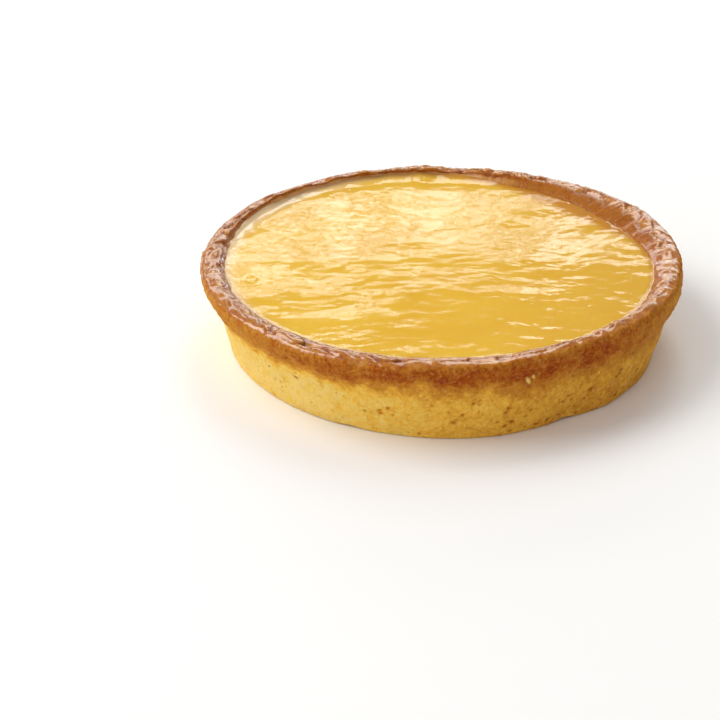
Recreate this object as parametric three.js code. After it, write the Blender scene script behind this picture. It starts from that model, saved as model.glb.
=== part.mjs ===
// A lemon tartlet: a cup of sweet shortcrust with a browned, craggy rim, filled
// almost to the brim with set lemon curd. Millimetres, +Z up. The origin is the
// middle of the flat underside. Angles run anticlockwise from +X, seen from above.
import * as THREE from "three";
import { mergeVertices } from "three/addons/utils/BufferGeometryUtils.js";

// Driving dimensions
const rimRadius = 49; // outer edge of the browned rim
const rimLevel = 17.1; // height of that edge
const footRadius = 44.7; // the wall where it meets the table
const curdRadius = 43.9; // where the curd meets the rim
const curdLevel = 16.3;
const floorThickness = 3.2;
const seatGap = 0.3; // curd clear of the crust all round

// The crust's section. Wall points are shares of the way from the foot to the rim's edge.
const section = {
  footRounding: 0.9,
  wall: [
    { out: 0.3, up: 0.35 },
    { out: 0.55, up: 0.63 },
    { out: 0.87, up: 0.82 },
    { out: 1, up: 0.95 },
  ],
  crestRise: 0.75, // the ridge, above the rim's edge
  crestInset: 2.3, // the ridge, in from the rim's edge
  slopeInset: 3.7, // a point halfway down the slope to the curd
  innerLean: 0.9, // the inner wall just below the curd, in from its edge
  innerDrop: 1.6,
  innerFootInset: 3.6, // the cup's hidden bottom corner, in from the foot
  innerFootRise: 2.4,
  innerFootRounding: 2.2,
};

// Slow unevenness of the hand-lined ring: each wave adds size * cos(turns * (angle - peak))
const rimWaves = [
  { turns: 2, size: 0.88, peak: 29 },
  { turns: 3, size: 0.32, peak: 11 },
  { turns: 5, size: 0.14, peak: 50 },
];
const footWaves = [
  { turns: 1, size: 0.6, peak: -20 },
  { turns: 2, size: 0.46, peak: 106 },
  { turns: 3, size: 0.2, peak: 70 },
];
const innerWaves = [
  { turns: 1, size: 0.78, peak: 136 },
  { turns: 2, size: 0.62, peak: 122 },
  { turns: 3, size: 0.66, peak: -9 },
];
const crestWaves = [
  { turns: 2, size: 0.12, peak: 150 },
  { turns: 3, size: 0.14, peak: 200 },
  { turns: 7, size: 0.1, peak: 12 },
];

// One-off faults of the dough, each at an angle in degrees and as wide as that many degrees
const slump = { peak: 33, width: 15, size: 1.1 }; // the rim sagged inwards
const lip = { peak: -8, width: 38, size: 0.6, height: 13.4, spread: 2.4 }; // overhang
const footDent = { peak: -57, width: 15, size: 1.3 }; // the foot crumbled
const knobs = [
  { peak: 30, width: 11, size: 0.85 },
  { peak: 47, width: 6, size: 0.4 },
  { peak: 96, width: 5, size: 0.5 },
  { peak: 147, width: 10, size: 0.45 },
];

// Crags of the baked dough, from coarse to fine
const wallCrags = [
  { across: 9, size: 0.3, seed: 3 },
  { across: 3.6, size: 0.2, seed: 11 },
];
const rimCrags = [
  { across: 6, size: 0.34, seed: 7 },
  { across: 2.9, size: 0.26, seed: 19 },
];
const rimCragsOutwards = 0.6; // share of the rim's crags that shows on its outer side
const creases = { count: 62, depth: 0.75, width: 2.5, seed: 41 }; // short cracks across the rim

// The curd's low dome and the swells left in it by the glazing brush
const curdDome = 0.25;
const curdEdgeBlend = 8; // swells fade out towards the edge over this width
const curdSwells = [
  { alongX: 26, alongY: 11, size: 0.16, seed: 5 },
  { alongX: 14, alongY: 6, size: 0.07, seed: 23 },
];

// Facets
const crustSegments = 192;
const curdSegments = 96;
const curdRings = 14;

const degrees = Math.PI / 180;
const crestRadius = rimRadius - section.crestInset;
const innerFootRadius = footRadius - section.innerFootInset;
const mix = THREE.MathUtils.lerp;
const at = (radius, height) => new THREE.Vector2(radius, height);

// Eases from 0 to 1 as the value goes from one limit to the other, rising or falling
function share(from, to, value) {
  return THREE.MathUtils.smoothstep((value - from) / (to - from), 0, 1);
}

function waveSum(waves, angle) {
  return waves.reduce(
    (sum, wave) => sum + wave.size * Math.cos(wave.turns * (angle - wave.peak * degrees)),
    0,
  );
}

// A fault's size at an angle: whole at its peak, falling away over its width
function faultAt({ peak, width, size }, angle) {
  const turned = angle / degrees - peak;
  const away = turned - 360 * Math.round(turned / 360);
  return size * Math.exp(-((away / width) ** 2));
}

function knobsAt(angle) {
  return knobs.reduce((sum, knob) => sum + faultAt(knob, angle), 0);
}

// A repeatable value from 0 to 1 for a point of a grid
function scatter(column, row, seed) {
  const raw = Math.sin(column * 127.1 + row * 311.7 + seed * 74.7) * 43758.5453;
  return raw - Math.floor(raw);
}

// Smooth bumps from -1 to 1. With a count of columns, the pattern closes on itself.
function bumps(x, y, seed, columns = 0) {
  const column = Math.floor(x);
  const row = Math.floor(y);
  const wrap = (c) => (columns ? ((c % columns) + columns) % columns : c);
  const value = (c, r) => scatter(wrap(column + c), row + r, seed);
  const s = share(0, 1, x - column);
  const t = share(0, 1, y - row);
  const low = mix(value(0, 0), value(1, 0), s);
  const high = mix(value(0, 1), value(1, 1), s);
  return 2 * mix(low, high, t) - 1;
}

// Crags all round the tartlet, on a skin measured by angle and by length along its section
function cragsAt(crags, angle, along) {
  const turn = (angle / (2 * Math.PI) + 1) % 1;
  return crags.reduce((sum, { across, size, seed }) => {
    const columns = Math.round((2 * Math.PI * rimRadius) / across);
    return sum + size * bumps(turn * columns, along / across, seed, columns);
  }, 0);
}

// Depth of the short cracks across the rim, each with its own place, width and depth
function creasesAt(angle) {
  const { count, depth, width, seed } = creases;
  const halfWidth = width / 2 / rimRadius / degrees;
  let deepest = 0;
  for (let i = 0; i < count; i++) {
    const crack = {
      peak: (360 / count) * (i + 0.7 * scatter(i, 0, seed)),
      width: halfWidth * (0.7 + scatter(i, 1, seed)),
      size: depth * (0.3 + 0.7 * scatter(i, 2, seed)),
    };
    deepest = Math.max(deepest, faultAt(crack, angle));
  }
  return deepest;
}

// The crust's section from the middle of the underside, up the wall and over the lip to the ridge
function outsideProfile() {
  const { footRounding, wall, crestRise } = section;
  const wallPoints = wall.map(({ out, up }) => at(mix(footRadius, rimRadius, out), rimLevel * up));
  const rimEdge = wallPoints[wallPoints.length - 1];
  const corner = new THREE.QuadraticBezierCurve(
    at(footRadius - footRounding, 0),
    at(footRadius, 0),
    at(footRadius, footRounding),
  );
  const wallCurve = new THREE.SplineCurve([at(footRadius, footRounding), ...wallPoints]);
  const lipCurve = new THREE.QuadraticBezierCurve(
    rimEdge,
    at(rimRadius, rimLevel + crestRise),
    at(crestRadius, rimLevel + crestRise),
  );
  return [
    at(0, 0),
    at(footRadius / 2, 0),
    ...corner.getPoints(3),
    ...wallCurve.getPoints(11).slice(1),
    ...lipCurve.getPoints(4).slice(1),
  ];
}

// From the ridge down the slope to the curd, then the hidden inner wall and floor
function insideProfile() {
  const { crestRise, slopeInset, innerLean, innerDrop, innerFootRise, innerFootRounding } = section;
  const slope = new THREE.SplineCurve([
    at(crestRadius, rimLevel + crestRise),
    at(rimRadius - slopeInset, rimLevel + crestRise / 2),
    at(curdRadius, curdLevel),
    at(curdRadius - innerLean, curdLevel - innerDrop),
  ]);
  return [
    ...slope.getPoints(5).slice(1),
    at(innerFootRadius, floorThickness + innerFootRise),
    at(innerFootRadius - innerFootRounding, floorThickness),
    at(0, floorThickness),
  ];
}

// Turns a section about Z into a closed skin, then moves each point by a rule that gets its
// radius, angle, height and place in the section, and gives a new radius and height
function turnedSkin(profile, segments, rule) {
  const geometry = new THREE.LatheGeometry(profile, segments).rotateX(Math.PI / 2);
  const position = geometry.getAttribute("position");
  for (let i = 0; i < position.count; i++) {
    const angle = Math.atan2(position.getY(i), position.getX(i));
    const radius = Math.hypot(position.getX(i), position.getY(i));
    const moved = rule(radius, angle, position.getZ(i), i % profile.length);
    position.setXYZ(i, moved.x * Math.cos(angle), moved.x * Math.sin(angle), moved.y);
  }
  geometry.deleteAttribute("normal");
  geometry.deleteAttribute("uv");
  return mergeVertices(geometry, 1e-3);
}

// Outer skin: the ring's waves and faults, then crags that grow from the flat foot to the rim
function outerPoint(radius, angle, height) {
  const upper = share(rimLevel * 0.35, rimLevel * 0.95, height);
  const onRim = share(rimLevel * 0.8, rimLevel, height);
  const onRidge = share(rimRadius, crestRadius, radius) * onRim;
  const lifted = share(0, section.footRounding, height);
  const foot = waveSum(footWaves, angle) - faultAt(footDent, angle);
  const waves = mix(foot, waveSum(rimWaves, angle), upper);
  const overhang = faultAt(lip, angle) * Math.exp(-(((height - lip.height) / lip.spread) ** 2));
  const wallRough = cragsAt(wallCrags, angle, height);
  const rimRough = cragsAt(rimCrags, angle, height + radius) * rimCragsOutwards;
  const ridge = cragsAt(rimCrags, angle, radius) - creasesAt(angle);
  const rise = onRim * (waveSum(crestWaves, angle) + knobsAt(angle)) + onRidge * ridge;
  const grown = Math.min(1, radius / footRadius) * (waves + overhang);
  return at(radius + grown + lifted * mix(wallRough, rimRough, onRim), height + rise);
}

// How far the curd's edge lies from a true circle
function innerEdge(angle) {
  return waveSum(innerWaves, angle) - faultAt(slump, angle);
}

// Inner skin: from the ridge's waves to those of the curd's edge, then smooth and hidden
function innerPoint(radius, angle, height) {
  const inward = share(crestRadius, curdRadius, radius);
  const shown = share(curdLevel - section.innerDrop, curdLevel, height);
  const waves = mix(waveSum(rimWaves, angle), innerEdge(angle), inward);
  const swell = waveSum(crestWaves, angle) + knobsAt(angle);
  const ridge = cragsAt(rimCrags, angle, radius) - creasesAt(angle);
  const rise = shown * (swell * (1 - inward) + ridge * (1 - inward / 2));
  return at(radius + Math.min(1, radius / curdRadius) * waves, height + rise);
}

function crustGeometry() {
  const outside = outsideProfile();
  const profile = [...outside, ...insideProfile()];
  return turnedSkin(profile, crustSegments, (radius, angle, height, place) =>
    place < outside.length
      ? outerPoint(radius, angle, height)
      : innerPoint(radius, angle, height),
  );
}

// Height of the swells over a point of the curd
function swellAt(x, y) {
  return curdSwells.reduce(
    (sum, { alongX, alongY, size, seed }) => sum + size * bumps(x / alongX, y / alongY, seed),
    0,
  );
}

// The curd fills the cup, clear of the crust by the seat gap, measured across the leaning wall
function curdGeometry() {
  const { innerLean, innerDrop, innerFootRise, innerFootRounding } = section;
  const edgeRadius = curdRadius - 1.6 * seatGap;
  const rings = Array.from({ length: curdRings + 1 }, (_, i) => edgeRadius * (1 - i / curdRings));
  const profile = [
    at(0, floorThickness + seatGap),
    at(innerFootRadius - innerFootRounding - seatGap, floorThickness + seatGap),
    at(innerFootRadius - 1.6 * seatGap, floorThickness + innerFootRise),
    at(edgeRadius - innerLean, curdLevel - innerDrop),
    ...rings.map((radius) =>
      at(radius, curdLevel + curdDome * share(curdRadius, curdRadius / 2, radius)),
    ),
  ];
  return turnedSkin(profile, curdSegments, (radius, angle, height) => {
    const moved = radius + Math.min(1, radius / curdRadius) * innerEdge(angle);
    const onTop = height >= curdLevel ? share(curdRadius, curdRadius - curdEdgeBlend, radius) : 0;
    const swell = swellAt(moved * Math.cos(angle), moved * Math.sin(angle));
    return at(moved, height + onTop * swell);
  });
}

function piece(name, geometry, colour, roughness) {
  const material = new THREE.MeshStandardMaterial({ color: colour, roughness, metalness: 0 });
  const mesh = new THREE.Mesh(geometry, material);
  mesh.name = name;
  return mesh;
}

// The uneven ring is set with the middle of its width and depth over the origin
const tartlet = new THREE.Group();
tartlet.add(
  piece("shortcrust_shell", crustGeometry(), 0xd89a3e, 0.75),
  piece("lemon_curd", curdGeometry(), 0xe8b83c, 0.15),
);
const middle = new THREE.Box3().setFromObject(tartlet).getCenter(new THREE.Vector3());
tartlet.position.set(-middle.x, -middle.y, 0);

export default tartlet;
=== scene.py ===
import math
import random
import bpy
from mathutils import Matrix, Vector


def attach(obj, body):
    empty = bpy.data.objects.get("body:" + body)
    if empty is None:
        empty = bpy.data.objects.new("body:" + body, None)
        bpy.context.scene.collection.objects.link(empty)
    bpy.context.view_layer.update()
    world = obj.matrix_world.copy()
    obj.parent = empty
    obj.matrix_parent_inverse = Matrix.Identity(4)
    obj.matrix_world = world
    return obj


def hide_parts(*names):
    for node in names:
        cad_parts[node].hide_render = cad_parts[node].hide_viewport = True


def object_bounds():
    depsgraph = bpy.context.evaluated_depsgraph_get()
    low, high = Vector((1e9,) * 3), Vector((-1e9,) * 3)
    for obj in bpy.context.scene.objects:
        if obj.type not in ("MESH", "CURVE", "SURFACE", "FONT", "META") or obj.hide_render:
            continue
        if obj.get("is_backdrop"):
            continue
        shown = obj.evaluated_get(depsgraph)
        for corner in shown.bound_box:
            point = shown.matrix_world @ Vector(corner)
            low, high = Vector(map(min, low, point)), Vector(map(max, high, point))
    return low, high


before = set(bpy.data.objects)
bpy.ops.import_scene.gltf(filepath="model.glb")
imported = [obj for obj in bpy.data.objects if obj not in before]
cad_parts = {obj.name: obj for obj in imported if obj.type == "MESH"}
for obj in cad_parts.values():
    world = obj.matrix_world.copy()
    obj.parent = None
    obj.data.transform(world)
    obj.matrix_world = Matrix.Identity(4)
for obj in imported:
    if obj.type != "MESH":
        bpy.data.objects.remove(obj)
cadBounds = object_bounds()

from types import SimpleNamespace

import bmesh
import bpy
import numpy as np
from mathutils import Matrix, Vector

# Shapes are worked out in millimetres about the ring's own axis, and set in metres at the end
mm = 0.001
ringShift = np.array([-0.262, 0.341, 0.0])  # from the ring's axis to the middle of the whole tartlet

ring = {
    "rimRadius": 49.0,
    "rimLevel": 17.1,
    "footRadius": 44.7,
    "footRounding": 0.9,
    "curdRadius": 43.9,
    "curdLevel": 16.3,
    "floorThickness": 3.2,
    "crestRise": 0.75,
    "crestInset": 2.3,
    "slopeInset": 3.7,
    "innerLean": 0.9,
    "innerDrop": 1.6,
    "innerFootInset": 3.6,
    "innerFootRise": 2.4,
    "innerFootRounding": 2.2,
    "upperWall": (0.35, 0.95),  # the foot's waves give way to the rim's between these shares of its level
    "rimFrom": 0.8,  # and the rim's crags show from this one
}
ring["crestRadius"] = ring["rimRadius"] - ring["crestInset"]
ring["crestLevel"] = ring["rimLevel"] + ring["crestRise"]
ring["innerFootRadius"] = ring["footRadius"] - ring["innerFootInset"]

wallCourse = [(0.3, 0.35), (0.55, 0.63), (0.87, 0.82), (1.0, 0.95)]  # shares out and up, foot to rim

# Slow unevenness of the hand-lined ring: turns, size, and the angle of a peak in degrees
rimWaves = [(2, 0.88, 29), (3, 0.32, 11), (5, 0.14, 50)]
footWaves = [(1, 0.6, -20), (2, 0.46, 106), (3, 0.2, 70)]
innerWaves = [(1, 0.78, 136), (2, 0.62, 122), (3, 0.66, -9)]
crestWaves = [(2, 0.12, 150), (3, 0.14, 200), (7, 0.1, 12)]

# One-off faults of the dough: angle, width in degrees, size
slump = (33, 15, 1.1)
lip = (-8, 38, 0.6)
lipBand = {"height": 13.4, "spread": 2.4}
footDent = (-57, 15, 1.3)
knobs = [(30, 11, 0.85), (47, 6, 0.4), (96, 5, 0.5), (147, 10, 0.45)]

# Crags of the baked dough: how far across, size, seed
wallCrags = [(9, 0.3, 3), (3.6, 0.2, 11)]
rimCrags = [(6, 0.34, 7), (2.9, 0.2, 19)]
creases = {
    "count": 62,
    "seed": 41,
    "depth": 0.75,
    "shallowest": 0.3,  # share of the depth
    "width": 2.5,
    "narrowest": 0.7,  # share of the width
    "offset": 0.7,  # how far each may lie from its even place, in places
    "slant": 0.4,
    "keep": 0.45,  # share of the depth that shows
}


def share(start, end, value):
    # eases from 0 to 1 as the value goes from start to end, rising or falling
    t = np.clip((value - start) / (end - start), 0, 1)
    return t * t * (3 - 2 * t)


def mix(low, high, amount):
    return low * (1 - amount) + high * amount


def waveSum(waves, angle):
    return sum(size * np.cos(turns * (angle - math.radians(peak))) for turns, size, peak in waves)


def faultAt(fault, angle):
    peak, width, size = fault
    away = (np.degrees(angle) - peak + 180) % 360 - 180
    return size * np.exp(-((away / width) ** 2))


def faultSum(faults, angle):
    return sum(faultAt(fault, angle) for fault in faults)


def scatter(column, row, seed):
    # a scattered number from 0 to 1, always the same for the same place and seed
    raw = np.sin(column * 127.1 + row * 311.7 + seed * 74.7) * 43758.5453
    return raw - np.floor(raw)


def wrapped(column, columns):
    return np.mod(column, columns) if columns else column


def bumps(x, y, seed, columns=0):
    # blunt bumps from -1 to 1, as the solids have
    column, row = np.floor(x), np.floor(y)
    s, t = share(0, 1, x - column), share(0, 1, y - row)
    corner = lambda i, j: scatter(wrapped(column + i, columns), row + j, seed)
    low = mix(corner(0, 0), corner(1, 0), s)
    high = mix(corner(0, 1), corner(1, 1), s)
    return 2 * mix(low, high, t) - 1


def swells(x, y, seed, columns=0):
    # smooth rolling swells from about -1 to 1, with no seams in their slopes
    column, row = np.floor(x), np.floor(y)
    fx, fy = x - column, y - row
    ease = lambda t: t * t * t * (t * (t * 6 - 15) + 10)

    def corner(i, j):
        turn = math.tau * scatter(wrapped(column + i, columns), row + j, seed)
        return np.cos(turn) * (fx - i) + np.sin(turn) * (fy - j)

    low = mix(corner(0, 0), corner(1, 0), ease(fx))
    high = mix(corner(0, 1), corner(1, 1), ease(fx))
    return 1.5 * mix(low, high, ease(fy))


def cells(x, y, seed, columns=0):
    # scattered cells: how far inside its own cell's border a place is,
    # and its level on the cell's tilted top
    column, row = np.floor(x), np.floor(y)
    first, second, top = np.full_like(x, 9.0), np.full_like(x, 9.0), np.zeros_like(x)
    margin = 0.1  # no cell has its middle nearer than this to the edge of its square
    for i in (-1, 0, 1):
        for j in (-1, 0, 1):
            at = (wrapped(column + i, columns), row + j)
            overX = x - (column + i + margin + (1 - 2 * margin) * scatter(*at, seed))
            overY = y - (row + j + margin + (1 - 2 * margin) * scatter(*at, seed + 1))
            away = np.hypot(overX, overY)
            tiltX, tiltY = scatter(*at, seed + 3) - 0.5, scatter(*at, seed + 4) - 0.5
            tilted = overX * tiltX + overY * tiltY + 0.5 * scatter(*at, seed + 2)
            second = np.minimum(second, np.maximum(first, away))
            top = np.where(away < first, tilted, top)
            first = np.minimum(first, away)
    return second - first, top


def roundRing(pattern, across, seed, angle, along):
    # a pattern laid round the ring, closing on itself
    columns = round(math.tau * ring["rimRadius"] / across)
    turn = np.mod(angle / math.tau + 1, 1)
    return pattern(turn * columns, along / across, seed, columns)


def cragsAt(crags, angle, along):
    return sum(size * roundRing(bumps, across, seed, angle, along) for across, size, seed in crags)


def creasesAt(angle, radius):
    # short slanting cracks across the rim
    spec = creases
    turn = np.mod(angle / math.tau + 1, 1)
    nearest = np.floor(turn * spec["count"])
    deepest = np.zeros_like(angle)
    for step in (-1, 0, 1):
        i = np.mod(nearest + step, spec["count"])
        peak = (i + spec["offset"] * scatter(i, 0, spec["seed"])) / spec["count"]
        halfWidth = spec["width"] / 2 * (spec["narrowest"] + scatter(i, 1, spec["seed"]))
        depth = spec["depth"] * mix(spec["shallowest"], 1, scatter(i, 2, spec["seed"]))
        slant = spec["slant"] * (2 * scatter(i, 3, spec["seed"]) - 1)
        away = (turn - peak + 0.5) % 1 - 0.5
        away = away * math.tau * ring["rimRadius"] + slant * (radius - ring["crestRadius"])
        deepest = np.maximum(deepest, depth * np.exp(-((away / halfWidth) ** 2)))
    return deepest * spec["keep"]


def curveThrough(points, count):
    # a smooth curve through all the points
    points = [Vector(p) for p in points]
    last = len(points) - 1
    made = []
    for step in range(count + 1):
        place = last * step / count
        i = min(int(place), last - 1)
        t = place - i
        before, start = points[max(i - 1, 0)], points[i]
        end, after = points[i + 1], points[min(i + 2, last)]
        leave, arrive = (end - before) / 2, (after - start) / 2
        made.append(
            (2 * start - 2 * end + leave + arrive) * t**3
            + (-3 * start + 3 * end - 2 * leave - arrive) * t**2
            + leave * t
            + start
        )
    return made


def roundedBend(start, corner, end, count):
    start, corner, end = Vector(start), Vector(corner), Vector(end)
    steps = [step / count for step in range(count + 1)]
    return [start * (1 - t) ** 2 + corner * 2 * t * (1 - t) + end * t**2 for t in steps]


def evenly(points, spacing):
    # the same course with its points a fixed length apart
    course = np.array([tuple(p) for p in points])
    lengths = np.concatenate([[0], np.cumsum(np.linalg.norm(np.diff(course, axis=0), axis=1))])
    places = np.linspace(0, lengths[-1], max(2, round(lengths[-1] / spacing) + 1))
    return list(zip(np.interp(places, lengths, course[:, 0]), np.interp(places, lengths, course[:, 1])))


spinMerge = 0.001  # millimetres within which the seams of a spun skin are joined


def spinProfile(name, profile, steps):
    # an eighth is spun, then doubled three times; the row layer keeps each point's place in the profile
    bm = bmesh.new()
    rowLayer = bm.verts.layers.int.new("row")
    line = [bm.verts.new((radius, 0, height)) for radius, height in profile]
    for row, vert in enumerate(line):
        vert[rowLayer] = row
    edges = [bm.edges.new(pair) for pair in zip(line, line[1:])]
    bmesh.ops.spin(bm, geom=line + edges, cent=(0, 0, 0), axis=(0, 0, 1), dvec=(0, 0, 0),
                   angle=math.tau / 8, steps=steps // 8, use_merge=False, use_duplicate=False)
    for turn in (45, 90, 180):
        whole = bm.verts[:] + bm.edges[:] + bm.faces[:]
        copied = bmesh.ops.duplicate(bm, geom=whole)["geom"]
        copiedVerts = [g for g in copied if isinstance(g, bmesh.types.BMVert)]
        bmesh.ops.rotate(bm, verts=copiedVerts, cent=(0, 0, 0),
                         matrix=Matrix.Rotation(math.radians(turn), 3, "Z"))
    bmesh.ops.remove_doubles(bm, verts=bm.verts, dist=spinMerge)
    bmesh.ops.recalc_face_normals(bm, faces=bm.faces)
    mesh = bpy.data.meshes.new(name)
    bm.to_mesh(mesh)
    bm.free()
    return mesh


def readVerts(mesh, what="co"):
    values = np.empty(len(mesh.vertices) * 3)
    mesh.vertices.foreach_get(what, values)
    return values.reshape(-1, 3)


def writeVerts(mesh, points):
    mesh.vertices.foreach_set("co", points.reshape(-1))
    mesh.update()


def readRows(mesh):
    rows = np.empty(len(mesh.vertices), dtype=np.int32)
    mesh.attributes["row"].data.foreach_get("value", rows)
    mesh.attributes.remove(mesh.attributes["row"])
    return rows


def writeMask(mesh, name, values):
    layer = mesh.attributes.new(name, "FLOAT", "POINT")
    layer.data.foreach_set("value", np.clip(values, 0, 1).astype(np.float32))


def polar(points):
    return np.arctan2(points[:, 1], points[:, 0]), np.hypot(points[:, 0], points[:, 1])


def fromPolar(angle, radius, height):
    return np.stack([radius * np.cos(angle), radius * np.sin(angle), height], axis=1)


def placeObject(name, data):
    made = bpy.data.objects.new(name, data)
    bpy.context.scene.collection.objects.link(made)
    return made


def addPiece(mesh, material):
    # millimetres to metres, over the solids' own middle
    writeVerts(mesh, (readVerts(mesh) + ringShift) * mm)
    mesh.polygons.foreach_set("use_smooth", [True] * len(mesh.polygons))
    mesh.materials.append(material)
    piece = placeObject(mesh.name, mesh)
    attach(piece, "root")
    return piece


crust = {
    "steps": 1104,  # round the ring
    "wallSpacing": 0.36,  # between points on the skin that shows
    "rimSpacing": 0.225,
    "hiddenSpacing": 20.0,
    "footSteps": 4,  # of each curve, before it is spaced evenly
    "wallSteps": 40,
    "lipSteps": 24,
    "slopeSteps": 30,
    "ridgeShare": 0.8,  # of the rim's crags that shows along its top
    "rimShare": 0.6,  # of the rim's crags that shows on its outer side
    "lumps": [  # flakes of the rim: round the ring, across it, crease depth and softness, tilt, slant, seed
        (6.6, 2.9, 0.34, 0.07, 0.74, 0.7, 91),
        (3.2, 1.9, 0.08, 0.08, 0.1, -0.5, 95),
    ],
    "lumpBend": (0.45, 0.5, 0.7),  # how far the creases wander, and how often round the ring and across it
    "lumpLevel": 0.25,  # the usual level of a flake's top
    "sand": [(2.6, 0.07, 51), (1.3, 0.06, 52), (0.8, 0.05, 53)],  # crumb of the wall: across, size, seed
    "boil": [(2.2, 0.1, 61), (1.1, 0.12, 62), (0.75, 0.1, 63)],  # rougher skin of the browned band
    "sandLevelled": 0.8,  # share of these that the glaze levels out
    "boilLevelled": 0.94,
    "unevenness": [(9, 71), (3.1, 72), (1.2, 73)],  # slow, middling and quick: across, seed
    "pores": {
        "count": 560,
        "seed": 8,
        "radius": (0.16, 0.52),
        "rarity": 1.6,  # of the large ones
        "flat": (0.9, 1.8),  # times wider than high
        "tilt": 0.5,
        "depth": 0.6,  # share of the radius
        "low": 0.8,  # millimetres up the wall
        "high": 12.0,
        "side": -0.9,  # the angle in radians where most of them are
        "anywhere": 0.07,  # share that is kept all round, and on that side
        "onSide": 0.88,
        "edge": (1.2, 0.2),  # where its painted shade begins and is full, in radii
        "softness": 1.4,
        "darkFrom": 0.34,  # the radius from which its painted shade is full
    },
    "chips": {"count": 16, "seed": 14, "width": (1.5, 4.5), "size": (0.15, 0.5),
              "highest": (2.2, 0.2), "lowest": (0, 0.15)},
    "bandLevel": [(2, 0.7, -90), (1, 0.4, 120)],  # waves of the browned band's lower edge
    "bandMean": 11.1,  # and its usual level
    "bandRagged": (0.7, 0.8, 0.9),  # by the slow, middling and quick unevenness
    "bandFade": 3.4,
    # how browned: the band, the top of the rim, and the slope near the crest and further in
    "bandToast": 0.9,
    "topToast": 0.78,
    "slopeToast": (0.74, 0.86),
    "wallUneven": (0.05, 0.05, 0.0),  # and how far each unevenness shifts that
    "slopeUneven": (0.0, 0.08, 0.05),
    # painted light: how far the lower dull slope, lying in shade, is made less browned
    "paleLoss": 0.3,
    "paleBand": [(-170, 42, -0.34), (-16, 20, -0.3)],  # where the band is less browned: angle, width, by
    "shadedSide": -20,  # angle of the side that is browner, partly from baking and partly as painted shade away from the lamps
    "shadedSideToast": 0.42,
    "glazeReach": [(1, 0.3, 170)],  # waves of how far the glaze runs out over the rim
    "glazeMean": 1.75,  # and how far it usually does
    "glazeLost": {"crease": 0.85, "dull": 0.35, "film": 0.85, "dry": 0.9},  # share of it missing there
    "grit": [(1.7, 0.19, 57), (0.9, 0.13, 58)],  # broken crumb along the back rim: across, size, seed
    "gritSide": (88, 46, 1.0),
    "filmGrit": 0.55,
    "beads": [(-69, 12.7, 0.7), (-67.8, 13.4, 0.45)],  # drops of glaze on the wall: angle, height, radius
    "beadShape": {"lean": 0.5, "narrow": 1.5, "squat": 0.8, "rise": 0.55, "edge": (1.15, 0.8)},
    "beadPaintedHighlight": 0.8,  # share of the browning that they hide, a painted highlight that makes them read as glints
    "footGaps": [(-56, 3.2, 0.5), (-33, 4.0, 0.4), (-112, 2.5, 0.25)],  # where it is off the table
    "pools": [(-3, 13, 1.1), (186, 7, 0.7), (207, 6, 0.7), (122, 7, 0.5)],  # where the glaze is smooth
    "thinRim": (184, 30, 0.8),  # where the curd reaches further out over the rim
    "film": (46, 23, 1.0),  # where the curd thins out over the slope
    "steepWall": (142, 26, 0.5),  # where the inner slope drops late: angle, width, millimetres
    "dullWall": (112, 44, 1.3),  # where the inner slope has little glaze
    "drySlope": (66, 15, 1.1),  # and where it has none
    "zones": {  # where each begins and is full
        "skin": (0.0, 0.5),  # millimetres up the wall
        "aboveCurd": (-1.5, -0.5),  # and from the curd's level
        "top": (-1.0, 0.2),  # and from the rim's
        "lip": (-0.6, 0.0),
        "glaze": (0.3, -0.2),  # and from the glaze's reach
        "flakes": (-0.2, -1.5),
        "browner": (0.15, 0.6),  # shares of the way down the inner slope
        "film": (0.12, 0.5),
        "dull": (0.3, 0.55),
        # where painted light and a painted sheen lighten the lower slope
        "pale": (0.66, 0.94),
        "dry": (0.15, 0.4),
        "dark": (-0.35, 0.95),  # cosines of the angle from the shaded side
    },
    "filmWidth": 1.5,  # how much wider the film is than its fault
    "filmRagged": 0.16,
    "poolRagged": 0.25,
    "glazeRagged": (0.3, 0.35),  # by the middling and quick unevenness
    "paleRagged": 0.1,
    "flakesLost": {"inward": 0.8, "film": 0.5, "pool": 0.9},  # share of them missing there
    "paintedSheenMottle": (0.8, 0.3, 0.3),  # strength, and its middling and quick unevenness
    "filmMottle": (0.78, 0.3, 0.25),
    "footGapFade": (2.4, 0.2),  # millimetres up the wall
    "footGapFrom": (40, 44),  # millimetres from the axis
}


def crustOutside():
    r = ring
    foot = (r["footRadius"], r["footRounding"])
    wall = [(mix(r["footRadius"], r["rimRadius"], out), r["rimLevel"] * up) for out, up in wallCourse]
    corner = roundedBend((r["footRadius"] - r["footRounding"], 0), (r["footRadius"], 0), foot,
                         crust["footSteps"])
    lipBend = roundedBend(wall[-1], (r["rimRadius"], r["crestLevel"]), (r["crestRadius"], r["crestLevel"]),
                          crust["lipSteps"])
    side = evenly(corner + curveThrough([foot] + wall, crust["wallSteps"])[1:], crust["wallSpacing"])
    under = evenly([(0, 0), (r["footRadius"] - r["footRounding"], 0)], crust["hiddenSpacing"])
    return under[:-1] + side + evenly(lipBend, crust["rimSpacing"])[1:]


def crustInside():
    r = ring
    slope = curveThrough([
        (r["crestRadius"], r["crestLevel"]),
        (r["rimRadius"] - r["slopeInset"], r["rimLevel"] + r["crestRise"] / 2),
        (r["curdRadius"], r["curdLevel"]),
        (r["curdRadius"] - r["innerLean"], r["curdLevel"] - r["innerDrop"]),
    ], crust["slopeSteps"])
    hidden = [
        (r["innerFootRadius"], r["floorThickness"] + r["innerFootRise"]),
        (r["innerFootRadius"] - r["innerFootRounding"], r["floorThickness"]),
        (0, r["floorThickness"]),
    ]
    return evenly(slope, crust["rimSpacing"])[1:] + hidden


def innerEdge(angle):
    return waveSum(innerWaves, angle) - faultAt(slump, angle) + faultAt(crust["thinRim"], angle)


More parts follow.
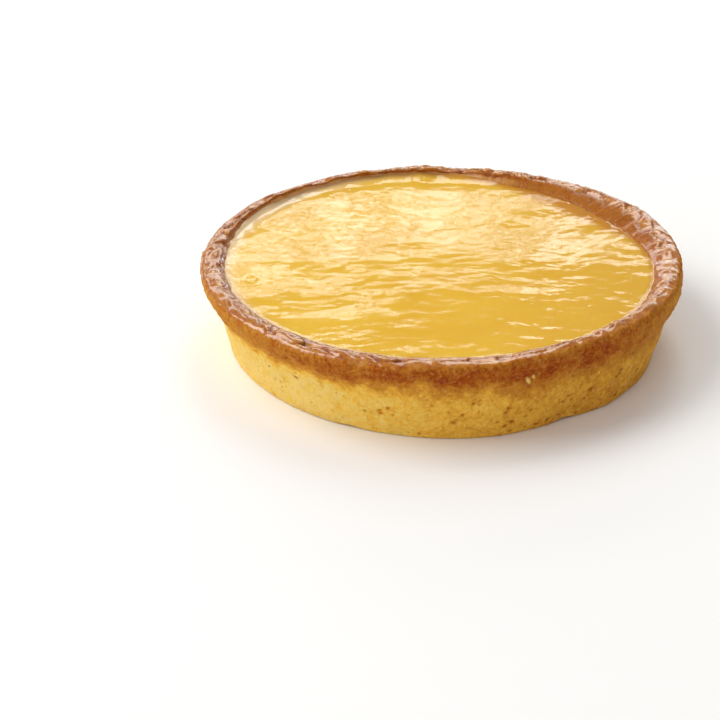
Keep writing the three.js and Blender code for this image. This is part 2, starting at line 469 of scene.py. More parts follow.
def shapeOutside(angle, radius, height):
    r = ring
    upper = share(*(r["rimLevel"] * part for part in r["upperWall"]), height)
    onRim = share(r["rimLevel"] * r["rimFrom"], r["rimLevel"], height)
    onRidge = share(r["rimRadius"], r["crestRadius"], radius) * onRim
    lifted = share(0, r["footRounding"], height)
    foot = waveSum(footWaves, angle) - faultAt(footDent, angle)
    waves = mix(foot, waveSum(rimWaves, angle), upper)
    overhang = faultAt(lip, angle) * np.exp(-(((height - lipBand["height"]) / lipBand["spread"]) ** 2))
    wallRough = cragsAt(wallCrags, angle, height)
    rimRough = cragsAt(rimCrags, angle, height + radius) * crust["rimShare"]
    ridge = cragsAt(rimCrags, angle, radius) * crust["ridgeShare"] - creasesAt(angle, radius)
    rise = onRim * (waveSum(crestWaves, angle) + faultSum(knobs, angle)) + onRidge * ridge
    grown = np.minimum(1, radius / r["footRadius"]) * (waves + overhang)
    return radius + grown + lifted * mix(wallRough, rimRough, onRim), height + rise


def shapeInside(angle, radius, height):
    r = ring
    inward = share(r["crestRadius"], r["curdRadius"], radius)
    shown = share(r["curdLevel"] - r["innerDrop"], r["curdLevel"], height)
    waves = mix(waveSum(rimWaves, angle), innerEdge(angle), inward)
    late = faultAt(crust["steepWall"], angle) * np.sin(math.pi * np.clip(inward, 0, 1))
    swell = waveSum(crestWaves, angle) + faultSum(knobs, angle)
    ridge = cragsAt(rimCrags, angle, radius) * crust["ridgeShare"] - creasesAt(angle, radius)
    rise = shown * (swell * (1 - inward) + ridge * (1 - inward / 2) + late)
    return radius + np.minimum(1, radius / r["curdRadius"]) * waves, height + rise


def lumpsAt(angle, along):
    # tilted flakes of glazed dough with thin creases between them
    total, crease = np.zeros_like(angle), np.zeros_like(angle)
    bend, oftenRound, oftenAcross = crust["lumpBend"]
    deepest = crust["lumps"][0][2]
    for around, across, depth, softness, tilt, slant, seed in crust["lumps"]:
        columns = round(math.tau * ring["rimRadius"] / around / 2) * 2
        turn = np.mod(angle / math.tau + 1, 1) * columns
        down = along / across
        bendX = bend * swells(turn * oftenRound, down * oftenAcross, seed, columns * oftenRound)
        bendY = bend * swells(turn * oftenRound, down * oftenAcross, seed + 9, columns * oftenRound)
        border, top = cells(turn + bendX + slant * down, down + bendY, seed, columns)
        gap = np.exp(-border / softness)
        total += depth * (crust["lumpLevel"] - gap) + tilt * (top - crust["lumpLevel"])
        crease = np.maximum(crease, gap * depth / deepest)
    return total, crease


def poreField(angle, height, outer):
    # small open bubbles in the crumb, more of them to the front and right, with painted shade inside them
    spec = crust["pores"]
    draw = random.Random(spec["seed"])
    depth, mask = np.zeros_like(angle), np.zeros_like(angle)
    order = np.argsort(angle)
    sortedAngles = angle[order]
    for _ in range(spec["count"]):
        place = draw.uniform(-math.pi, math.pi)
        level = draw.uniform(spec["low"], spec["high"])
        size = mix(*spec["radius"], draw.random() ** spec["rarity"])
        flat = draw.uniform(*spec["flat"])
        tilt = draw.uniform(-spec["tilt"], spec["tilt"])
        facing = math.cos(place - spec["side"])
        if draw.random() > spec["anywhere"] + spec["onSide"] * facing ** 2 * (facing > 0):
            continue
        # only the points near the pore are worked on
        reach = 3 * size / ring["footRadius"]
        low, high = np.searchsorted(sortedAngles, (place - reach, place + reach))
        near = order[low:high]
        near = near[outer[near] & (np.abs(height[near] - level) < 3 * size)]
        lean = (angle[near] - place) * ring["footRadius"]
        sideways = lean + tilt * (height[near] - level)
        away = np.hypot(sideways / (size * flat), (height[near] - level) / size)
        depth[near] = np.maximum(depth[near], size * spec["depth"] * np.exp(-(away**2) * spec["softness"]))
        # painted shade inside the pore, full for the larger ones
        dark = share(*spec["edge"], away) * min(1, size / spec["darkFrom"])
        mask[near] = np.maximum(mask[near], dark)
    return depth, mask


def chipField(angle, height):
    # crumbled bites along the bottom edge
    spec = crust["chips"]
    draw = random.Random(spec["seed"])
    bite = np.zeros_like(angle)
    for _ in range(spec["count"]):
        width = math.degrees(mix(*spec["width"], draw.random()) / ring["footRadius"])
        chip = (draw.uniform(-180, 180), width, mix(*spec["size"], draw.random()))
        bite = np.maximum(bite, faultAt(chip, angle))
    return bite * share(*spec["highest"], height) * share(*spec["lowest"], height)


def beadField(angle, height, outer):
    # leaning drops, a little taller than wide
    shape = crust["beadShape"]
    rise, mask = np.zeros_like(angle), np.zeros_like(angle)
    for place, level, size in crust["beads"]:
        sideways = (angle - math.radians(place)) * ring["rimRadius"] + shape["lean"] * (height - level)
        away = np.hypot(sideways * shape["narrow"], (height - level) * shape["squat"]) / size
        rise = np.maximum(rise, shape["rise"] * size * np.sqrt(np.clip(1 - away**2, 0, 1)) * outer)
        mask = np.maximum(mask, share(*shape["edge"], away) * outer)
    return rise, mask


def roughAt(parts, angle, along):
    return sum(size * roundRing(swells, across, seed, angle, along) for across, size, seed in parts)


def zoneAt(name, value, start=0.0):
    begins, full = crust["zones"][name]
    return share(start + begins, start + full, value)


def faultShare(name, angle, width=1.0):
    return np.clip(faultAt(crust[name], angle) * width, 0, 1)


def crustZones(angle, radius, height, along, outer):
    # where the skin shows, is browned, glazed, flaky, filmed over with curd and so on, each from 0 to 1
    zone = SimpleNamespace()
    cloud, patch, wisp = (roundRing(swells, *part, angle, along) for part in crust["unevenness"])
    zone.cloud, zone.patch, zone.wisp = cloud, patch, wisp
    aboveCurd = zoneAt("aboveCurd", height, ring["curdLevel"])
    zone.shows = zoneAt("skin", height) * np.where(outer, 1, aboveCurd)
    zone.onTop = np.where(outer, zoneAt("top", height, ring["rimLevel"]), aboveCurd)
    zone.inward = np.where(outer, 0, share(ring["crestRadius"], ring["curdRadius"], radius))

    # the browned band and its ragged lower edge
    bandEdge = crust["bandMean"] + waveSum(crust["bandLevel"], angle)
    for ragged, part in zip(crust["bandRagged"], (cloud, patch, wisp)):
        bandEdge = bandEdge - ragged * part
    fade = crust["bandFade"]
    zone.band = np.where(outer, share(bandEdge - fade, bandEdge + fade, height), 1)

    # the film of curd, the slope's dull and dry parts, and the lower dull part that painted light and a
    # painted sheen lighten
    film = np.where(outer, 0, faultShare("film", angle, crust["filmWidth"]))
    zone.film = film * zoneAt("film", zone.inward + crust["filmRagged"] * patch)
    zone.dull = faultShare("dullWall", angle) * zoneAt("dull", zone.inward)
    zone.pale = zone.dull * zoneAt("pale", zone.inward + crust["paleRagged"] * patch)
    zone.dry = faultShare("drySlope", angle) * zoneAt("dry", zone.inward)

    # the glaze and the flakes under it
    pool = np.clip(faultSum(crust["pools"], angle) + crust["poolRagged"] * patch, 0, 1)
    reach = crust["glazeMean"] + waveSum(crust["glazeReach"], angle)
    beyond = np.where(outer, radius - ring["crestRadius"], 0)
    middling, quick = crust["glazeRagged"]
    runsOut = zoneAt("glaze", beyond + middling * patch + quick * wisp, reach)
    zone.covered = np.where(outer, zoneAt("lip", height, ring["rimLevel"]) * runsOut, aboveCurd)
    lost = crust["flakesLost"]
    flaky = zone.onTop * (1 - lost["inward"] * zone.inward) * (1 - lost["film"] * zone.film)
    zone.flaky = flaky * (1 - lost["pool"] * pool) * zoneAt("flakes", beyond, reach)
    grit = faultAt(crust["gritSide"], angle) * zone.onTop * (1 - zone.inward)
    zone.gritty = grit + crust["filmGrit"] * zone.film
    return zone


def mottled(zone, strength, middling, quick):
    return strength + middling * zone.patch + quick * zone.wisp


def unevenly(zone, cloudy, patchy, wispy):
    return cloudy * zone.cloud + patchy * zone.patch + wispy * zone.wisp


def paintCrust(mesh, angle, outer, zone, poreShadeMask, crease, beadMask):
    # how far each place is browned, glazed and filmed over with curd, and where pores and creases get
    # painted shade, the lower inner slope painted light and a painted sheen, and the beads a painted
    # highlight
    strength = crust["bandToast"] + faultSum(crust["paleBand"], angle)
    # browner towards the shaded side: partly baking, partly painted shade
    sideToastAndShade = crust["shadedSideToast"] * zoneAt("dark", np.cos(angle - math.radians(crust["shadedSide"])))
    browned = mix(sideToastAndShade, mix(strength, crust["topToast"], zone.onTop), zone.band)
    browned = browned + unevenly(zone, *crust["wallUneven"])
    # painted light lightens the lower dull slope
    inside = mix(*crust["slopeToast"], zoneAt("browner", zone.inward)) - crust["paleLoss"] * zone.pale
    inside = inside + unevenly(zone, *crust["slopeUneven"])
    lost = crust["glazeLost"]
    glazed = zone.covered * (1 - lost["crease"] * np.clip(crease * zone.flaky, 0, 1))
    glazed = glazed * (1 - lost["dull"] * zone.dull) * (1 - lost["film"] * zone.film)
    # the beads' colour is lightened as a painted highlight
    writeMask(mesh, "browned", np.where(outer, browned, inside) * (1 - crust["beadPaintedHighlight"] * beadMask))
    writeMask(mesh, "glazed", np.maximum(glazed * (1 - lost["dry"] * zone.dry), beadMask))
    # painted shade in the pores, off the browned band
    writeMask(mesh, "pore", poreShadeMask * (1 - zone.band))
    # painted shade in the creases between the flakes
    writeMask(mesh, "crease", crease * zone.flaky)
    # painted sheen: a pale haze on the lower inner slope
    writeMask(mesh, "paintedSheen", zone.pale * (1 - zone.film) * mottled(zone, *crust["paintedSheenMottle"]))
    writeMask(mesh, "filmed", zone.film * mottled(zone, *crust["filmMottle"]))


def makeCrust():
    outside = crustOutside()
    profile = outside + crustInside()
    mesh = spinProfile("crust", profile, crust["steps"])
    rows = readRows(mesh)
    angle, radius = polar(readVerts(mesh))
    height = readVerts(mesh)[:, 2]
    outer = rows < len(outside)
    lengths = np.linalg.norm(np.diff(np.array(profile), axis=0), axis=1)
    along = np.concatenate([[0], np.cumsum(lengths)])[rows]

    outRadius, outHeight = shapeOutside(angle, radius, height)
    inRadius, inHeight = shapeInside(angle, radius, height)
    newRadius = np.where(outer, outRadius, inRadius)
    newHeight = np.where(outer, outHeight, inHeight)
    onWall = outer & (height > ring["footRounding"] * 0.5)
    newRadius -= np.where(onWall, chipField(angle, height), 0)
    footGap = faultSum(crust["footGaps"], angle)
    footGap = footGap * share(*crust["footGapFade"], height) * share(*crust["footGapFrom"], radius)
    newHeight += np.where(outer, footGap, 0)
    writeVerts(mesh, fromPolar(angle, newRadius, newHeight))

    # fine relief, along the skin's own normals
    zone = crustZones(angle, radius, height, along, outer)
    poreDepth, poreShadeMask = poreField(angle, height, outer)
    lumps, crease = lumpsAt(angle, along)
    beadRise, beadMask = beadField(angle, height, outer)
    sand = roughAt(crust["sand"], angle, along) * (1 - crust["sandLevelled"] * zone.covered)
    boil = roughAt(crust["boil"], angle, along) * zone.band * (1 - crust["boilLevelled"] * zone.covered)
    relief = sand + boil - poreDepth * (1 - zone.band)
    relief += zone.flaky * lumps + roughAt(crust["grit"], angle, along) * zone.gritty
    relief += beadRise
    normals = readVerts(mesh, "normal")
    writeVerts(mesh, readVerts(mesh) + normals * (relief * zone.shows)[:, None])
    paintCrust(mesh, angle, outer, zone, poreShadeMask, crease, beadMask)
    return mesh


curd = {
    "steps": 768,  # round the ring
    "centreSpacing": 0.42,
    "edgeSpacing": 0.25,
    "edgeBand": 9.0,  # how wide the closer spacing is
    "overlap": 0.9,  # the film runs on under the crust's slope
    "seatGap": 0.3,  # between the hidden bottom and the cup
    "edgeDrops": (0.35, 0.9),  # the edge's own thickness, and where it meets the hidden side
    "seatInset": (0.78, 0.48),  # the hidden side's place within the slope, at its top and below
    "sunk": (0.06, 0.5),  # how far it sits below the solid's level, at the front and at the back
    "sunkSpan": (-5, 42),  # front to back
    "meniscus": [(0.36, 3.6), (0.5, 1.6)],  # rise at the back edge, and how far in it reaches
    "meniscusLeft": [(0.08, 3.6), (0.46, 1.15)],  # the same at the left
    "leftSpan": (112, 134),  # the angles between which the one passes into the other
    "meniscusSpan": (66, 86, 158, 176),  # the angles it grows and fades between
    "meniscusPeak": (150, 14, 0.4),  # and where it is steeper still
    "meniscusUneven": [(6, 0.18, 83)],  # across, size, seed
    "filmClimb": (0.36, 4.2),  # the same rise where it thins out over the crust
    "lip": (0.1, 0.45),  # the narrow rise all round
    "climbEnds": -0.4,  # how far in each rise is at its highest
    "lipLost": 0.8,  # share of it missing at the back edge
    "calmEdge": (-0.9, 1.2),  # how far in the swells begin and are full
    "swells": [  # along x, along y, slope in degrees, turned by, seed
        (26, 16, 0.36, 13, 5),
        (13, 7.5, 0.36, -9, 23),
        (6.4, 3.6, 0.48, 9, 31),
        (3.4, 1.9, 0.52, -15, 37),
        (1.8, 1.1, 0.4, 21, 39),
    ],
    "swellSlope": 0.93,  # the usual slope of a swell that is one high and one long
    "strokes": [  # fine marks of the spatula: from x, y, to x, y, half width, height
        (-15.6, -36.0, 1.7, -34.0, 0.4, 0.012),
        (-34.0, -21.0, -22.5, -25.2, 0.5, 0.012),
        (19.5, -34.4, 21.7, -33.8, 0.35, 0.012),
        (22.8, -34.6, 24.6, -34.1, 0.3, 0.01),
        (26.3, -30.9, 27.7, -30.4, 0.3, 0.01),
    ],
    "strokeWander": (3.2, 43, 0.6),  # across, seed, size
    "strokeFade": (2.1, 47, 0.55, 0.9),  # across, seed, usual strength, unevenness
    "bubble": {"x": -38.4, "y": -9.8, "radius": 1.0, "length": 1.4, "width": 0.42, "rise": 0.13},
    "edgeRagged": [(4.2, 0.4, 81)],
    "thinEdge": (1.3, 6.5),  # how wide the browner edge is, and how much wider in the film
    "thinFull": (0.25, 0.7),  # it is full at this share of the width, less this
    "skin": (152, 38, 1.3),  # where a pale band is painted on its edge, a painted reflection of the lamps that also lightens the shade by the crust
    "edgeReflectionReach": (3.2, 0.4),  # how far in that ends, and is full
    "edgeReflectionRagged": 2.0,
}


def curdProfile():
    r = ring
    edge = r["curdRadius"] + curd["overlap"]
    band = r["curdRadius"] - curd["edgeBand"]
    gap = curd["seatGap"]
    edgeDrop, seatDrop = curd["edgeDrops"]
    seatTop, seatBelow = curd["seatInset"]
    top = evenly([(0, r["curdLevel"]), (band, r["curdLevel"])], curd["centreSpacing"])
    top += evenly([(band, r["curdLevel"]), (edge, r["curdLevel"])], curd["edgeSpacing"])[1:]
    below = [
        (edge, r["curdLevel"] - edgeDrop),
        (r["curdRadius"] - seatTop, r["curdLevel"] - seatDrop),
        (r["curdRadius"] - seatBelow - r["innerLean"], r["curdLevel"] - r["innerDrop"]),
        (r["innerFootRadius"] - seatBelow, r["floorThickness"] + r["innerFootRise"]),
        (r["innerFootRadius"] - r["innerFootRounding"] - gap, r["floorThickness"] + gap),
        (0, r["floorThickness"] + gap),
    ]
    return top, top + below


def swellAt(swell, x, y):
    alongX, alongY, slope, turnedBy, seed = swell
    turn = math.radians(turnedBy)
    turnedX, turnedY = x * math.cos(turn) - y * math.sin(turn), x * math.sin(turn) + y * math.cos(turn)
    height = math.tan(math.radians(slope)) * alongY / curd["swellSlope"]
    return height * swells(turnedX / alongX, turnedY / alongY, seed)


def strokeAt(stroke, x, y):
    # a line with a wandering course and an uneven height
    fromX, fromY, toX, toY, halfWidth, size = stroke
    runX, runY = toX - fromX, toY - fromY
    along = np.clip(((x - fromX) * runX + (y - fromY) * runY) / (runX**2 + runY**2), 0, 1)
    across, seed, wander = curd["strokeWander"]
    offY = wander * swells(x / across, y / across, seed)
    away = np.hypot(x - fromX - along * runX, y - fromY - along * runY + offY)
    across, seed, usual, uneven = curd["strokeFade"]
    strength = usual + uneven * swells(x / across, y / across, seed)
    return size * np.exp(-((away / halfWidth) ** 2)) * strength


def edgeRise(angle, inset, film):
    # how the curd climbs at its edge: most at the back and where it thins out over the crust
    climb = lambda size, reach: size * np.exp(-np.maximum(inset, curd["climbEnds"]) / reach)
    rise = climb(*curd["lip"]) * (1 - film) + climb(*curd["filmClimb"]) * film
    growsAt, fullAt, fadesAt, goneAt = curd["meniscusSpan"]
    degrees = np.degrees(angle)
    span = share(growsAt, fullAt, degrees) * share(goneAt, fadesAt, degrees)
    uneven = 1 + faultAt(curd["meniscusPeak"], angle)
    uneven = uneven + roughAt(curd["meniscusUneven"], angle, np.zeros_like(angle))
    rise = rise - climb(*curd["lip"]) * curd["lipLost"] * span * (1 - film)
    back = sum(climb(*part) for part in curd["meniscus"])
    left = sum(climb(*part) for part in curd["meniscusLeft"])
    return rise + mix(back, left, share(*curd["leftSpan"], degrees)) * span * uneven


def makeCurd():
    top, profile = curdProfile()
    mesh = spinProfile("curd", profile, curd["steps"])
    rows = readRows(mesh)
    angle, radius = polar(readVerts(mesh))
    height = readVerts(mesh)[:, 2]
    onTop = rows < len(top)
    moved = radius + np.minimum(1, radius / ring["curdRadius"]) * innerEdge(angle)
    x, y = moved * np.cos(angle), moved * np.sin(angle)
    inset = ring["curdRadius"] - radius
    film = faultAt(crust["film"], angle)  # the curd thins out over the crust at the back right

    wave = sum(swellAt(swell, x, y) for swell in curd["swells"]) * share(*curd["calmEdge"], inset)
    sunk = mix(*curd["sunk"], share(*curd["sunkSpan"], y))
    bubble = curd["bubble"]
    away = np.hypot(x - bubble["x"], (y - bubble["y"]) / bubble["length"]) - bubble["radius"]
    blister = bubble["rise"] * np.exp(-((away / bubble["width"]) ** 2))
    strokes = sum(strokeAt(stroke, x, y) for stroke in curd["strokes"])
    lift = edgeRise(angle, inset, film) - sunk + wave + blister + strokes
    writeVerts(mesh, fromPolar(angle, moved, height + np.where(onTop, lift, 0)))

    # where the edge is thin, and where the painted reflection runs along it
    ragged = roughAt(curd["edgeRagged"], angle, np.zeros_like(angle))
    wide, widerInFilm = curd["thinEdge"]
    wide = wide + widerInFilm * film
    fullShare, fullLess = curd["thinFull"]
    thin = share(wide, wide * fullShare - fullLess, inset + ragged * (1 + film))
    writeMask(mesh, "thin", np.where(onTop, thin, 0))
    # painted reflection along the edge at the back left
    edgeReflection = np.clip(faultAt(curd["skin"], angle), 0, 1) * (1 - film)
    edgeReflection = edgeReflection * share(*curd["edgeReflectionReach"], inset + curd["edgeReflectionRagged"] * ragged)
    writeMask(mesh, "skin", np.where(onTop, edgeReflection, 0))
    return mesh


def srgb(red, green, blue):
    toLinear = lambda c: c / 12.92 if c <= 0.04045 else ((c + 0.055) / 1.055) ** 2.4
    return (*(toLinear(c / 255) for c in (red, green, blue)), 1.0)


class Graph:
    # a short way to place and link nodes
    def __init__(self, tree):
        self.tree = tree

    def add(self, kind, inputs=None, **settings):
        node = self.tree.nodes.new(kind)
        for name, value in settings.items():
            setattr(node, name, value)
        for name, value in (inputs or {}).items():
            self.feedSocket(node.inputs[name], value)
        return node

    def feedSocket(self, socket, value):
        if isinstance(value, bpy.types.NodeSocket):
            self.tree.links.new(value, socket)
        else:
            socket.default_value = value

    def feed(self, shader, **values):
        for name, value in values.items():
            self.feedSocket(shader.inputs[name.replace("_", " ")], value)

    def maths(self, operation, first, second=0.0, clamp=False):
        node = self.add("ShaderNodeMath", {0: first, 1: second}, operation=operation, use_clamp=clamp)
        return node.outputs[0]

    def blendColours(self, factor, first, second, mode="MIX"):
        node = self.add("ShaderNodeMix", data_type="RGBA", blend_type=mode)
        for place, value in zip((0, 6, 7), (factor, first, second)):
            self.feedSocket(node.inputs[place], value)
        return node.outputs[2]

    def spread(self, value, low, high, outLow=0.0, outHigh=1.0):
        node = self.add("ShaderNodeMapRange", {"Value": value, "From Min": low, "From Max": high,
                                               "To Min": outLow, "To Max": outHigh})
        return node.outputs["Result"]

    def masks(self, *names):
        return [self.add("ShaderNodeAttribute", attribute_name=name).outputs["Fac"] for name in names]

    def noise(self, coords, scale, detail=3.0, roughness=0.55):
        node = self.add("ShaderNodeTexNoise", {"Vector": coords, "Scale": scale, "Detail": detail,
                                               "Roughness": roughness})
        return node.outputs["Fac"]

    def ramp(self, value, stops):
        node = self.add("ShaderNodeValToRGB", {"Fac": value})
        elements = node.color_ramp.elements
        while len(elements) < len(stops):
            elements.new(0.5)
        for element, (place, colour) in zip(elements, stops):
            element.position = place
            element.color = colour
        return node.outputs["Color"]


def newMaterial(name):
    material = bpy.data.materials.new(name)
    material.use_nodes = True
    material.node_tree.nodes.clear()
    graph = Graph(material.node_tree)
    shader = graph.add("ShaderNodeBsdfPrincipled")
    graph.add("ShaderNodeOutputMaterial", {"Surface": shader.outputs[0]})
    return material, graph, shader


crumbGrain = {
    "coarser": 0.36,  # share of the fine grain's frequency
    "light": (0.55, 0.74),  # noise levels where the pale specks begin and are full
    "dark": (0.9, 0.68),
    "fineHeight": 0.55,
}


def crumbGrainGroup():
    # fine baked grain: pale specks, dark specks and a height for the bump
    tree = bpy.data.node_groups.new("crumbGrain", "ShaderNodeTree")
    tree.interface.new_socket("Coordinates", in_out="INPUT", socket_type="NodeSocketVector")
    tree.interface.new_socket("Grain", in_out="INPUT", socket_type="NodeSocketFloat")
    for name in ("Light", "Dark", "Height"):
        tree.interface.new_socket(name, in_out="OUTPUT", socket_type="NodeSocketFloat")
    graph = Graph(tree)
    source = graph.add("NodeGroupInput")
    coords = source.outputs["Coordinates"]
    perMetre = graph.maths("DIVIDE", 1000.0, source.outputs["Grain"])
    fine = graph.noise(coords, perMetre, 3.0, 0.6)
    coarse = graph.noise(coords, graph.maths("MULTIPLY", perMetre, crumbGrain["coarser"]), 3.0)
    light = graph.spread(fine, *crumbGrain["light"])
    dark = graph.spread(graph.maths("ADD", fine, coarse), *crumbGrain["dark"])
    height = graph.maths("ADD", graph.maths("MULTIPLY", fine, crumbGrain["fineHeight"]), coarse)
    graph.add("NodeGroupOutput", {"Light": light, "Dark": dark, "Height": height})
    return tree


def grainIn(graph, group, grain):
    coords = graph.add("ShaderNodeTexCoord").outputs["Object"]
    node = graph.add("ShaderNodeGroup", {}, node_tree=group)
    graph.tree.links.new(coords, node.inputs["Coordinates"])
    node.inputs["Grain"].default_value = grain
    return node, coords


crustLook = {
    "ramp": [  # from pale crumb to the browned rim
        (0.0, srgb(243, 208, 118)),
        (0.06, srgb(242, 204, 97)),
        (0.22, srgb(241, 187, 70)),
        (0.42, srgb(220, 158, 52)),
        (0.5, srgb(209, 144, 46)),
        (0.72, srgb(190, 121, 38)),
        (0.88, srgb(171, 91, 22)),
        (1.0, srgb(151, 63, 10)),
    ],
    "poreShadeAndDarkSpeck": srgb(194, 140, 66),  # multiplies the colour in pores, as painted shade in the holes, and in the grain's own dark specks
    # painted shade in the creases between the flakes
    "creasePaintedShade": srgb(165, 115, 80),
    # pale specks of the crumb, and painted glints where the crust is browned
    "speckAndGlint": srgb(255, 226, 160),
    # painted sheen on the lower inner slope
    "paintedSheenColour": srgb(244, 192, 142),
    "film": [(0.0, srgb(126, 62, 18)), (0.5, srgb(139, 75, 22)), (1.0, srgb(168, 102, 32))],
    "grain": 0.6,  # millimetres
    "mottle": (450.0, 0.13, 0.25),  # per metre, how far it shifts the browning, and the film's colour
    "crumb": (1600.0, 0.1),
    "mottleRange": (0.28, 0.72),  # the noise levels that count
    "crumbRange": (0.3, 0.7),
    "speckFade": (0.0, 0.75),  # browning over which the pale specks grow fewer
    "paleSpecks": (0.45, 0.16),  # strength of the pale specks on pale crust, and of the painted glints they give on browned crust
    "darkSpecks": 0.4,
    "paintedSheen": 0.8,
    "filmed": 0.9,
    "bump": 0.00045,
    "bumpGlazed": 0.12,  # share of the bump left under the glaze
    "roughness": (0.8, 0.5),  # bare, glazed
}


def crustMaterial(group):
    look = crustLook
    material, graph, shader = newMaterial("bakedCrust")
    grain, coords = grainIn(graph, group, look["grain"])
    browned, pore, glazed = graph.masks("browned", "pore", "glazed")
    crease, filmed, paintedSheen = graph.masks("crease", "filmed", "paintedSheen")

    # browning
    mottleScale, mottleShift, filmShift = look["mottle"]
    mottle = graph.noise(coords, mottleScale, 4.0, 0.62)
    uneven = graph.spread(mottle, *look["mottleRange"], -mottleShift, mottleShift)
    toast = graph.maths("ADD", browned, uneven)
    crumbScale, crumbShift = look["crumb"]
    crumb = graph.noise(coords, crumbScale, 2.0)
    crumb = graph.spread(crumb, *look["crumbRange"], -crumbShift, crumbShift)
    toast = graph.maths("ADD", toast, crumb, clamp=True)
    colour = graph.ramp(toast, look["ramp"])

    # pale specks and painted glints, dark specks, painted shade in pores and creases, a painted sheen, and
    # the curd's film over it all
    bare = graph.maths("SUBTRACT", 1.0, glazed, clamp=True)
    # pale specks on pale crust; on browned crust they are painted glints
    speckAndGlintShare = graph.spread(browned, *look["speckFade"], *look["paleSpecks"])
    specksAndGlints = graph.maths("MULTIPLY", grain.outputs["Light"], speckAndGlintShare)
    colour = graph.blendColours(graph.maths("MULTIPLY", specksAndGlints, bare), colour, look["speckAndGlint"])
    darkShare = graph.maths("MULTIPLY", bare, look["darkSpecks"])
    # painted shade in the pores, together with the grain's own dark specks
    pitShadeAndSpecks = graph.maths("MAXIMUM", pore, graph.maths("MULTIPLY", grain.outputs["Dark"], darkShare))
    colour = graph.blendColours(pitShadeAndSpecks, colour, look["poreShadeAndDarkSpeck"], "MULTIPLY")
    # painted sheen on the lower inner slope
    colour = graph.blendColours(graph.maths("MULTIPLY", paintedSheen, look["paintedSheen"]), colour, look["paintedSheenColour"])
    # painted shade in the creases
    colour = graph.blendColours(crease, colour, look["creasePaintedShade"], "MULTIPLY")
    thickness = graph.spread(mottle, *look["mottleRange"], -filmShift, filmShift)
    filmColour = graph.ramp(graph.maths("ADD", filmed, thickness, clamp=True), look["film"])
    colour = graph.blendColours(graph.maths("MULTIPLY", filmed, look["filmed"]), colour, filmColour)

    bumpShare = graph.spread(glazed, 0.0, 1.0, 1.0, look["bumpGlazed"])
    bumpHeight = graph.maths("MULTIPLY", grain.outputs["Height"], bumpShare)
    bump = graph.add("ShaderNodeBump", {"Strength": 0.8, "Distance": look["bump"], "Height": bumpHeight})
    graph.feed(shader, Base_Color=colour, Roughness=graph.spread(glazed, 0.0, 1.0, *look["roughness"]),
               Specular_IOR_Level=0.08, Coat_Weight=glazed, Coat_Roughness=0.12, Coat_IOR=1.7,
               Normal=bump.outputs["Normal"])
    return material


curdLook = {
    "yellow": srgb(234, 186, 58),
    "deep": srgb(228, 176, 46),
    "shadedSide": srgb(221, 169, 54),  # painted shade: the curd is a little darker to the right, away from the lamps
    "thin": srgb(196, 130, 38),
    # painted reflection along the curd's edge, which also lightens the shade by the crust
    "skin": srgb(255, 213, 164),
    "edgeReflectionShare": 0.9,
    "shadedSideSpan": (0.0, 0.05),  # metres to the right
    "cloudScale": 60.0,  # per metre
    "cloudRange": (0.35, 0.65),
    "rippleScale": 800.0,
    "ripple": 0.000018,
}


def curdMaterial():
    look = curdLook
    material, graph, shader = newMaterial("glazedCurd")
    coords = graph.add("ShaderNodeTexCoord").outputs["Object"]
    thin, skin = graph.masks("thin", "skin")
    cloud = graph.noise(coords, look["cloudScale"], 2.0)
    colour = graph.blendColours(graph.spread(cloud, *look["cloudRange"]), look["deep"], look["yellow"])
    sideways = graph.add("ShaderNodeSeparateXYZ", {"Vector": coords}).outputs["X"]
    # painted shade towards the right
    colour = graph.blendColours(graph.spread(sideways, *look["shadedSideSpan"]), colour, look["shadedSide"])
    colour = graph.blendColours(thin, colour, look["thin"])
    # painted reflection along the edge
    colour = graph.blendColours(graph.maths("MULTIPLY", skin, look["edgeReflectionShare"]), colour, look["skin"])
    ripple = graph.noise(coords, look["rippleScale"], 3.0, 0.6)
    bump = graph.add("ShaderNodeBump", {"Strength": 1.0, "Distance": look["ripple"], "Height": ripple})
    graph.feed(shader, Base_Color=colour, Roughness=0.045, IOR=1.5, Normal=bump.outputs["Normal"],
               Subsurface_Weight=0.35, Subsurface_Radius=(1.0, 0.6, 0.12), Subsurface_Scale=0.003)
    return material


studio = {
    "floor": srgb(248, 246, 244),
    "floorSize": 6.0,  # metres from the middle to each side
    "world": 0.42,
    "worldInGloss": 0.2,
    # azimuth runs from the back towards the left
    "lamps": {
        "backCard": {"azimuth": 4, "elevation": 18.9, "distance": 1.1, "size": (1.32, 0.325),
                     "radiance": 2.3, "roll": 14, "colour": (0.96, 1.01, 1.0),
                     "patches": (38, 11), "levels": (0.0, 1.9)},
        "topCard": {"azimuth": -8, "elevation": 51, "distance": 1.0, "size": (0.26, 0.64),
                    "radiance": 3.7, "roll": 16, "colour": (0.96, 1.01, 1.0),
                    "patches": (9, 12), "levels": (0.75, 1.25)},
        "sideBox": {"azimuth": 84, "elevation": 50, "distance": 1.0, "size": (0.75, 0.6),
                    "radiance": 4.7, "roll": 0, "colour": (1.0, 1.0, 1.0)},
        "frontFill": {"azimuth": 150, "elevation": 25, "distance": 1.2, "size": (0.9, 0.65),
                      "radiance": 1.15, "roll": 0, "colour": (1.0, 1.0, 1.0)},
    },
    "patchEdges": (0.445, 0.57),  # the closer together, the sharper a card's patches
    "cameraElevation": 27.13,
    "cameraDistance": 0.441,
    "aim": (-0.01602, -0.01335, 0.0),  # the floor point in the middle of the picture
    "lens": 104.86,
    "sensor": 36,
}


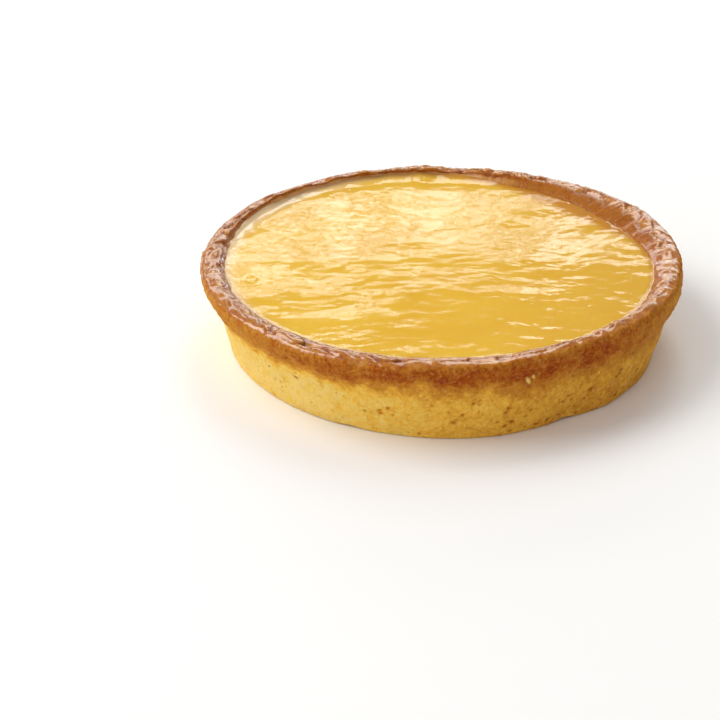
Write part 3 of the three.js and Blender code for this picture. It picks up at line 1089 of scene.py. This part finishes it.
def makeFloor():
    bm = bmesh.new()
    bmesh.ops.create_grid(bm, x_segments=1, y_segments=1, size=studio["floorSize"])
    mesh = bpy.data.meshes.new("floor")
    bm.to_mesh(mesh)
    bm.free()
    material, graph, shader = newMaterial("paleFloor")
    graph.feed(shader, Base_Color=studio["floor"], Roughness=0.6, Specular_IOR_Level=0.2)
    mesh.materials.append(material)
    placeObject("floor", mesh)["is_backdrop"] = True


def makeWorld():
    world = bpy.data.worlds.new("studio")
    world.use_nodes = True
    world.node_tree.nodes.clear()
    graph = Graph(world.node_tree)
    path = graph.add("ShaderNodeLightPath")
    strength = graph.add("ShaderNodeMix", {0: path.outputs["Is Glossy Ray"], 2: studio["world"],
                                           3: studio["worldInGloss"]}, data_type="FLOAT")
    background = graph.add("ShaderNodeBackground", {"Color": (1, 1, 1, 1), "Strength": strength.outputs[0]})
    graph.add("ShaderNodeOutputWorld", {"Surface": background.outputs[0]})
    bpy.context.scene.world = world


def makeLamp(name, spec):
    light = bpy.data.lights.new(name, "AREA")
    light.shape = "RECTANGLE"
    light.size, light.size_y = spec["size"]
    light.energy = spec["radiance"] * math.pi * light.size * light.size_y
    light.color = spec["colour"]
    if "patches" in spec:
        # a lit wall is never quite even: soft lighter and darker patches
        light.use_nodes = True
        light.node_tree.nodes.clear()
        graph = Graph(light.node_tree)
        place = graph.add("ShaderNodeNewGeometry").outputs["Parametric"]
        spot = graph.add("ShaderNodeVectorMath", {0: place, 1: (*spec["patches"], 0)}, operation="MULTIPLY")
        patch = graph.noise(spot.outputs["Vector"], 1.0, 3.0)
        level = graph.spread(patch, *studio["patchEdges"], *spec["levels"])
        emission = graph.add("ShaderNodeEmission", {"Strength": level})
        graph.add("ShaderNodeOutputLight", {"Surface": emission.outputs[0]})
    lamp = placeObject(name, light)
    azimuth, elevation = math.radians(spec["azimuth"]), math.radians(spec["elevation"])
    direction = Vector((-math.sin(azimuth) * math.cos(elevation), math.cos(azimuth) * math.cos(elevation),
                        math.sin(elevation)))
    lamp.location = direction * spec["distance"]
    facing = (-direction).to_track_quat("-Z", "Y").to_matrix().to_4x4()
    turned = facing @ Matrix.Rotation(math.radians(spec["roll"]), 4, "Z")
    lamp.rotation_euler = turned.to_euler()


def makeCamera():
    camera = placeObject("camera", bpy.data.cameras.new("camera"))
    elevation = math.radians(studio["cameraElevation"])
    back = Vector((0, -math.cos(elevation), math.sin(elevation))) * studio["cameraDistance"]
    camera.location = back + Vector(ringShift) * mm
    camera.rotation_euler = (Vector(studio["aim"]) - back).to_track_quat("-Z", "Y").to_euler()
    camera.data.lens = studio["lens"]
    camera.data.sensor_width = studio["sensor"]
    camera.data.clip_start = 0.01
    bpy.context.scene.camera = camera


crustMesh = makeCrust()
print("crust shaped:", len(crustMesh.polygons), "faces")

grainGroup = crumbGrainGroup()
crustPiece = addPiece(crustMesh, crustMaterial(grainGroup))
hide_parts("shortcrust_shell")

curdMesh = makeCurd()
print("curd shaped:", len(curdMesh.polygons), "faces")
curdPiece = addPiece(curdMesh, curdMaterial())
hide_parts("lemon_curd")

makeFloor()
makeWorld()
for lampName, lampSpec in studio["lamps"].items():
    makeLamp(lampName, lampSpec)
makeCamera()
bpy.context.scene.view_settings.view_transform = "Standard"
print("studio set")

({
    "cad": [list(corner) for corner in cadBounds],
    "visual": [list(corner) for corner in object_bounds()],
})
